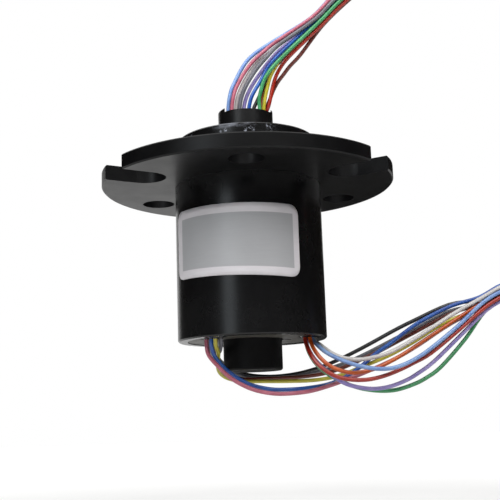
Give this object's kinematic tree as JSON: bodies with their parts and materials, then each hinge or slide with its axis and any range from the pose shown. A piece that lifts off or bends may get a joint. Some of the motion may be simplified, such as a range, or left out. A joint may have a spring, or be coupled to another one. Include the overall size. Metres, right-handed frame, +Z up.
{
  "type": "slip ring",
  "caption": "Flanged capsule slip ring: a round body with bolt holes and open slots in its flange, a rotating hollow shaft on two bearings, and thin coloured leads from both ends.",
  "frame": {"origin": "centre of the flange's underside, on the shaft's axis", "axes": "+Z up along the shaft, from the body towards the rotating collar; +X towards the side to which both bundles of leads run"},
  "size_m": [0.105, 0.0438, 0.092],
  "materials": {
    "black_plastic": "satin black moulded plastic, lightly scuffed",
    "black_turned": "satin black, turned shaft pieces",
    "cap_plastic": "light grey satin moulded plastic",
    "potting": "black epoxy potting",
    "foil": "bare silver-grey foil label, satin",
    "bearing_steel": "polished bearing steel",
    "cage_brass": "pressed brass",
    "tube_metal": "plain turned aluminium",
    "ring_gold": "gold plated brass",
    "barrier_plastic": "ivory insulating plastic",
    "spacer_brass": "plain brass",
    "board": "green circuit board",
    "brush_gold": "gold alloy wire",
    "hookup": "thin insulated wire inside the housing",
    "bundle": "stowed bundle of twelve coloured leads",
    "tie": "plain band",
    "lead_light_blue": "glossy lead insulation",
    "lead_pink": "glossy lead insulation",
    "lead_white": "glossy lead insulation",
    "lead_grey": "glossy lead insulation",
    "lead_violet": "glossy lead insulation",
    "lead_blue": "glossy lead insulation",
    "lead_black": "glossy lead insulation",
    "lead_green": "glossy lead insulation",
    "lead_yellow": "glossy lead insulation",
    "lead_orange": "glossy lead insulation",
    "lead_red": "glossy lead insulation",
    "lead_brown": "glossy lead insulation"
  },
  "bodies": {
    "housing": {"housing": "black_plastic", "flange": "black_plastic", "end_cap": "cap_plastic", "lead_seal_left": "potting", "lead_seal_right": "potting", "label": "foil", "upper_outer_race": "bearing_steel", "lower_outer_race": "bearing_steel", "brush_board_left": "board", "brush_board_right": "board", "brushes_left": "brush_gold", "brushes_right": "brush_gold", "stator_wires": "hookup", "stator_coil": "bundle", "stator_coil_band": "tie", "stator_lead_light_blue": "lead_light_blue", "stator_lead_pink": "lead_pink", "stator_lead_white": "lead_white", "stator_lead_grey": "lead_grey", "stator_lead_violet": "lead_violet", "stator_lead_blue": "lead_blue", "stator_lead_black": "lead_black", "stator_lead_green": "lead_green", "stator_lead_yellow": "lead_yellow", "stator_lead_orange": "lead_orange", "stator_lead_red": "lead_red", "stator_lead_brown": "lead_brown"},
    "rotor": {"rotor_tube": "tube_metal", "top_collar": "black_turned", "shaft_end": "black_turned", "rotor_potting": "potting", "slip_rings": "ring_gold", "ring_barriers": "barrier_plastic", "stack_spacers": "spacer_brass", "rotor_wires": "hookup", "upper_inner_race": "bearing_steel", "lower_inner_race": "bearing_steel", "rotor_coil": "bundle", "rotor_coil_band": "tie", "rotor_lead_light_blue": "lead_light_blue", "rotor_lead_pink": "lead_pink", "rotor_lead_white": "lead_white", "rotor_lead_grey": "lead_grey", "rotor_lead_violet": "lead_violet", "rotor_lead_blue": "lead_blue", "rotor_lead_black": "lead_black", "rotor_lead_green": "lead_green", "rotor_lead_yellow": "lead_yellow", "rotor_lead_orange": "lead_orange", "rotor_lead_red": "lead_red", "rotor_lead_brown": "lead_brown"},
    "upper_bearing_cage": {"upper_balls": "bearing_steel", "upper_cage": "cage_brass"},
    "lower_bearing_cage": {"lower_balls": "bearing_steel", "lower_cage": "cage_brass"}
  },
  "joints": [
    {"name": "rotor_spin", "type": "hinge", "parent": "housing", "child": "rotor", "pos_m": [0, 0, 0], "axis": [0, 0, 1], "continuous": true},
    {"name": "upper_cage_spin", "type": "hinge", "parent": "housing", "child": "upper_bearing_cage", "pos_m": [0, 0, 0.005], "axis": [0, 0, 1], "continuous": true},
    {"name": "lower_cage_spin", "type": "hinge", "parent": "housing", "child": "lower_bearing_cage", "pos_m": [0, 0, -0.0205], "axis": [0, 0, 1], "continuous": true}
  ],
  "couplings": [
    {"joint": "upper_cage_spin", "follows": "rotor_spin", "ratio": 0.425},
    {"joint": "lower_cage_spin", "follows": "rotor_spin", "ratio": 0.425}
  ]
}
